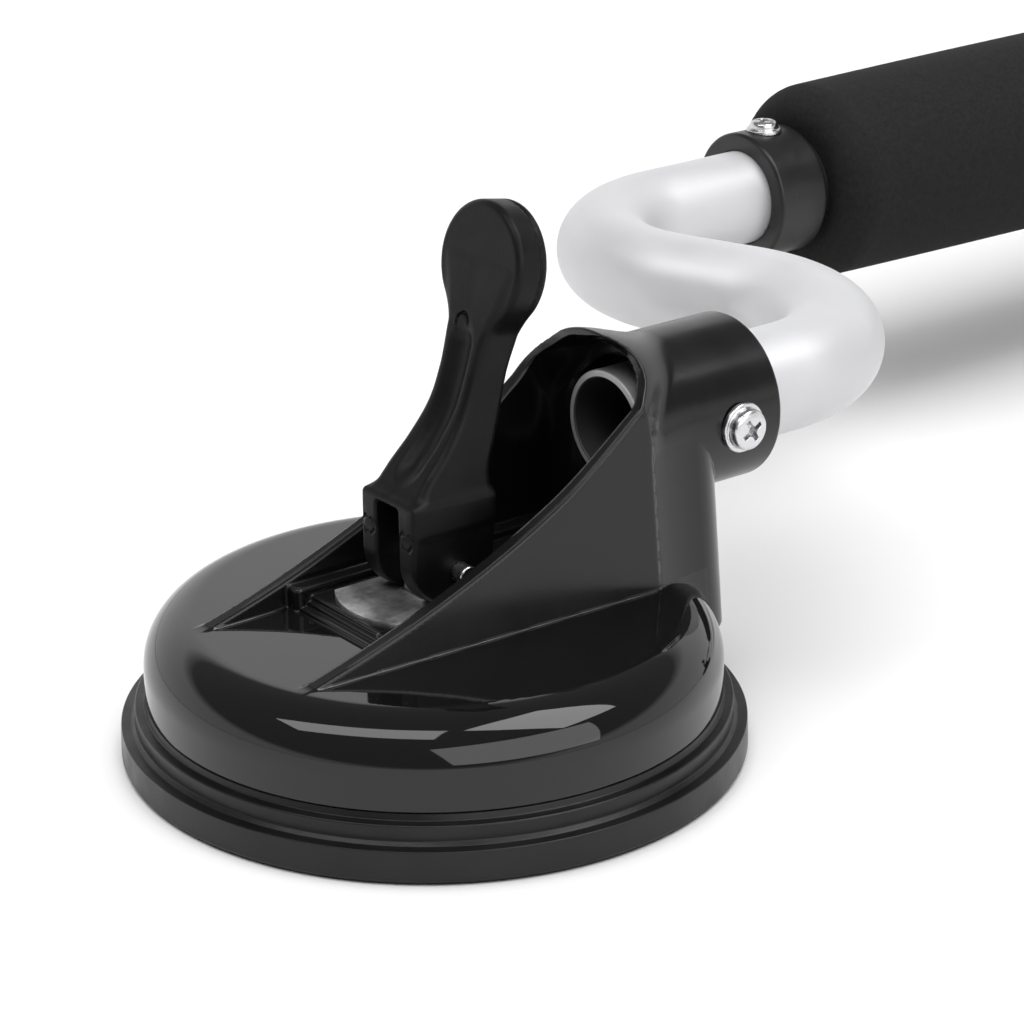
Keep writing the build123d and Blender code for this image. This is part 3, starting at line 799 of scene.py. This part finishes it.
def lever_black():
    """Lever: matte glass-filled plastic with a fine moulded grain."""
    s = Surface("lever_black", grey(0.004), 0.42, ior=1.27)
    s.drive("Roughness", s.between(s.noise(240, 6), 0.34, 0.48))
    s.drive("Base Color", s.ramp(s.noise(40, 4), (0.3, grey(0.003)), (0.7, grey(0.005))))
    s.bump(s.noise(1500, 4, 0.7), 0.00003)
    return s.material


def collar_black():
    """Stop collars: plain satin plastic."""
    s = Surface("collar_black", grey(0.009), 0.32, ior=1.45)
    s.drive("Roughness", s.between(s.noise(200, 5), 0.27, 0.38))
    s.bump(s.noise(1100, 3), 0.00002)
    return s.material


def rubber():
    """Pad: dense rubber with a soft satin skin and a trace of mould dust."""
    s = Surface("rubber", grey(0.006), 0.4, ior=1.4)
    s.drive("Roughness", s.between(s.noise(120, 6), 0.28, 0.42))
    s.drive("Base Color", s.ramp(s.noise(70, 5), (0.3, grey(0.004)), (0.7, grey(0.009))))
    s.bump(s.noise(700, 4), 0.00003)
    return s.material


def foam():
    """Closed-cell foam: tiny open cells on a ground surface, no gloss."""
    s = Surface("foam", grey(0.01), 0.9, ior=1.33)
    cells = s.nodes.new("ShaderNodeTexVoronoi")
    cells.feature = "SMOOTH_F1"
    cells.inputs["Scale"].default_value = 2200
    s.links.new(s.place, cells.inputs["Vector"])
    s.bump(cells.outputs["Distance"], 0.00006, 0.6)
    s.drive("Base Color", s.ramp(s.noise(900, 6, 0.7), (0.3, grey(0.007)), (0.7, grey(0.016))))
    return s.material


def liner_black():
    """Tube inside the foam, seen only at its ends."""
    s = Surface("liner_black", grey(0.02), 0.4)
    s.drive("Roughness", s.between(s.noise(150, 3), 0.35, 0.48))
    return s.material


def aluminium():
    """Tube: light grey satin aluminium."""
    s = Surface("aluminium", grey(0.72), 0.5, metallic=0.55)
    s.drive("Roughness", s.between(s.noise(60, 3), 0.45, 0.56))
    s.drive("Base Color", s.ramp(s.noise(25, 4), (0.3, grey(0.67)), (0.7, grey(0.72))))
    return s.material


def bore():
    """Inside of the tube: a dull drawn surface, never polished, in a much darker grey than the outside as
    painted shade for the inside of the open ends.
    """
    s = Surface("bore", grey(0.1), 0.5, metallic=0.5)
    s.drive("Roughness", s.between(s.noise(60, 3), 0.45, 0.6))
    return s.material


def steel():
    """Wear plate and the steel parts in the cap: bright strip with rolling lines and rub marks."""
    s = Surface("steel", grey(0.6), 0.4, metallic=0.85)
    lines = s.noise(160, 4, stretch=(1, 4, 1))
    s.drive("Roughness", s.between(lines, 0.3, 0.5))
    s.drive("Base Color", s.ramp(s.noise(110, 6, 0.65), (0.35, grey(0.3)), (0.6, grey(0.85))))
    s.bump(lines, 0.00001, 0.6)
    return s.material


def plated():
    """Screws and pin: bright zinc plate."""
    s = Surface("plated", grey(0.66), 0.25, metallic=1.0)
    s.drive("Roughness", s.between(s.noise(600, 4), 0.2, 0.32))
    s.bump(s.noise(900, 2), 0.00001)
    return s.material


# ------------------------------------------------------------------ putting it together
LOOKS = {name: make() for name, make in {
    "polished": polished_black, "satin": satin_black, "lever": lever_black, "collar": collar_black,
    "rubber": rubber, "foam": foam, "liner": liner_black, "aluminium": aluminium, "bore": bore,
    "steel": steel, "plated": plated}.items()}


def is_tower(x, y, z):
    """Faces that belong to the satin walls, tower and socket, not to the polished cap."""
    outside = (np.hypot(x, y) > CAP_R + 0.2) | (z > CAP_TOP + 0.35)
    return outside & (z > CAP_LOW + 1)


def is_bore(x, y, z):
    """Faces inside the tube, told from the outer ones near each open end; these get the painted shade."""
    inside = np.hypot(y - FOOT_Y / MM, z - AXIS) < TUBE_R - PAINTED_SHADE_DEPTH
    return inside & (np.abs(x) > FOOT_X / MM - BEND_X)


def facing_out(shape):
    """Turn a screw that points up so that its head faces -Y."""
    points, quads, normals = shape
    order, flip = [0, 2, 1], np.array([1.0, -1.0, 1.0])
    return points[:, order] * flip, quads, normals[:, order] * flip


def build():
    """Every moulded and turned piece, on both feet and along the bar."""
    shell, arm_shape, pad = housing_shape(), lever_shape(), pad_shape()
    pin = moved(pin_shape(), z=PIN_Z)
    collar_middle = COLLAR_X + COLLAR_LENGTH / 2
    ring = moved(collar_shape(), x=collar_middle, y=GRIP_OFFSET, z=AXIS)
    big = facing_out(screw_shape(*SOCKET_SCREW_HEAD, SOCKET_R - TUBE_R + TUBE_WALL))
    big = moved(big, x=SCREW_X, y=-SOCKET_R, z=AXIS)
    seat = COLLAR_R - COLLAR_SEAT_DEPTH
    small = screw_shape(*COLLAR_SCREW_HEAD, seat - TUBE_R + TUBE_WALL)
    small = moved(small, x=collar_middle, y=GRIP_OFFSET, z=AXIS + seat)
    for side in SIDES:
        at = foot_matrix(side)
        flat = Matrix.Translation((-FOOT_X if side == "left" else FOOT_X, FOOT_Y, 0))
        turned_over = side == "right"
        piece(f"{side}_housing_moulding", shell, at, "bar", [f"{side}_housing"],
              [LOOKS["polished"], LOOKS["satin"]], pick=is_tower)
        piece(f"{side}_rubber_cup", pad, at, "bar", [f"{side}_suction_pad"], [LOOKS["rubber"]])
        piece(f"{side}_lever_moulding", arm_shape, at, f"{side}_lever", [f"{side}_lever"],
              [LOOKS["lever"]])
        piece(f"{side}_hinge_pin", pin, at, f"{side}_lever", [f"{side}_lever_pin"],
              [LOOKS["plated"]])
        piece(f"{side}_side_screw", big, at, "bar", [f"{side}_socket_screw"], [LOOKS["plated"]])
        piece(f"{side}_collar_ring", ring, flat, "bar", [f"{side}_stop_collar"],
              [LOOKS["collar"]], mirror=turned_over)
        piece(f"{side}_top_screw", small, flat, "bar", [f"{side}_collar_screw"], [LOOKS["plated"]],
              mirror=turned_over)
    here = Matrix.Identity(4)
    # the tube's inside gets a dark grey material as painted shade
    piece("aluminium_tube", tube_shape(), here, "bar", ["bent_tube"],
          [LOOKS["aluminium"], LOOKS["bore"]], pick=is_bore)
    grip = moved(along_x(foam_shape()), y=GRIP_Y / MM, z=AXIS)
    grip = piece("foam_grip", grip, here, "foam_roller", ["foam_sleeve"], [LOOKS["foam"]])


def dress_cad_nodes():
    """Procedural materials for the CAD pieces that stay."""
    kept = {"pad_boss": "rubber", "insert_plate": "steel", "pull_stud": "steel", "return_spring": "steel",
            "wear_plate": "steel"}
    names = {f"{side}_{node}": look for side in SIDES for node, look in kept.items()}
    names["foam_liner"] = "liner"
    for name, look in names.items():
        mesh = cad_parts[name].data
        mesh.materials.clear()
        mesh.materials.append(LOOKS[look])


# ------------------------------------------------------------------ camera, floor and light
CAMERA_AT = (-0.3276, -0.4491, 0.2694)        # from the left foot's axis
CAMERA_TURN, CAMERA_TILT, CAMERA_ROLL = (math.radians(angle) for angle in (-37.65, 68.15, -0.28))
SOFTBOX_Z = 1.3
CEILING_Z = 2.5
FLOOR_HALF = 6.0


def make_camera():
    """Camera at a fixed place from the left foot."""
    data = bpy.data.cameras.new("camera")
    data.lens = 112.5
    data.sensor_width = 36
    data.clip_start = 0.05
    data.clip_end = 50
    cam = bpy.data.objects.new("camera", data)
    bpy.context.collection.objects.link(cam)
    turn = Matrix.Rotation(CAMERA_TURN, 4, "Z") @ Matrix.Rotation(CAMERA_TILT, 4, "X")
    x, y, z = CAMERA_AT
    place = Vector((x - FOOT_X, y + FOOT_Y, z))
    cam.matrix_world = Matrix.Translation(place) @ turn @ Matrix.Rotation(CAMERA_ROLL, 4, "Z")
    bpy.context.scene.camera = cam


def softbox(name, x, y, size, turn, brightness):
    """Flat box of light overhead, placed from the left foot's axis."""
    data = bpy.data.lights.new(name, "AREA")
    data.shape = "RECTANGLE"
    data.size, data.size_y = size
    data.energy = brightness * math.pi * size[0] * size[1]
    lamp = bpy.data.objects.new(name, data)
    bpy.context.collection.objects.link(lamp)
    lamp.location = (x - FOOT_X, y + FOOT_Y, SOFTBOX_Z)
    lamp.rotation_euler = (0, 0, math.radians(turn))
    return lamp


def make_world():
    """White sweep rising behind the foot, lower at the sides, under a dim room."""
    world = bpy.data.worlds.new("studio")
    bpy.context.scene.world = world
    world.use_nodes = True
    world.cycles_visibility.diffuse = False
    nodes, links = world.node_tree.nodes, world.node_tree.links
    back = nodes["Background"]
    back.inputs["Strength"].default_value = 1.0
    place = nodes.new("ShaderNodeTexCoord")
    height = nodes.new("ShaderNodeVectorMath")
    height.operation = "DOT_PRODUCT"
    behind = math.radians(52)
    height.inputs[1].default_value = (-0.3 * math.cos(behind), -0.3 * math.sin(behind), 1.0)
    links.new(place.outputs["Generated"], height.inputs[0])
    ramp = nodes.new("ShaderNodeValToRGB")
    ramp.color_ramp.elements[0].position = 0.245
    ramp.color_ramp.elements[0].color = (1, 1, 1, 1)
    ramp.color_ramp.elements[1].position = 0.35
    ramp.color_ramp.elements[1].color = (0.2, 0.2, 0.2, 1)
    links.new(height.outputs["Value"], ramp.inputs["Fac"])
    links.new(ramp.outputs["Color"], back.inputs["Color"])


def front_panel():
    """Wide tilted panel in front of the foot, seen as the third bright patch on the cap's shoulder."""
    lamp = softbox("seen_front", -0.06, -1.55, (1.95, 1.2), 0, 2.1)
    lamp.location.z = 0.82
    lamp.rotation_euler = (math.radians(65), 0, 0)
    lamp.visible_diffuse = False


def make_stage():
    """White floor, boxes seen in the cap, softer ones that light the floor, and a ceiling."""
    bpy.context.scene.view_settings.view_transform = "Standard"
    make_world()
    mesh = bpy.data.meshes.new("floor")
    corners = [(-FLOOR_HALF, -FLOOR_HALF, 0), (FLOOR_HALF, -FLOOR_HALF, 0),
               (FLOOR_HALF, FLOOR_HALF, 0), (-FLOOR_HALF, FLOOR_HALF, 0)]
    mesh.from_pydata(corners, [], [(0, 1, 2, 3)])
    floor = bpy.data.objects.new("floor", mesh)
    bpy.context.collection.objects.link(floor)
    white = Surface("floor_white", (0.92, 0.92, 0.92), 0.9)
    mesh.materials.append(white.material)
    left = (-0.705, -0.01, (1.2, 0.48), -46)
    right = (0.54, -0.54, (0.74, 1.02), 36)
    for name, place, seen, cast in (("left", left, 4.0, 1.2), ("right", right, 4.8, 1.2)):
        softbox("seen_" + name, *place, seen).visible_diffuse = False
        softbox("cast_" + name, *place, cast).visible_glossy = False
    front_panel()
    ceiling = softbox("ceiling", -0.1, -0.1, (4.0, 4.0), 0, 2.75)
    ceiling.location.z = CEILING_Z
    ceiling.visible_glossy = False


build()
dress_cad_nodes()
make_camera()
make_stage()
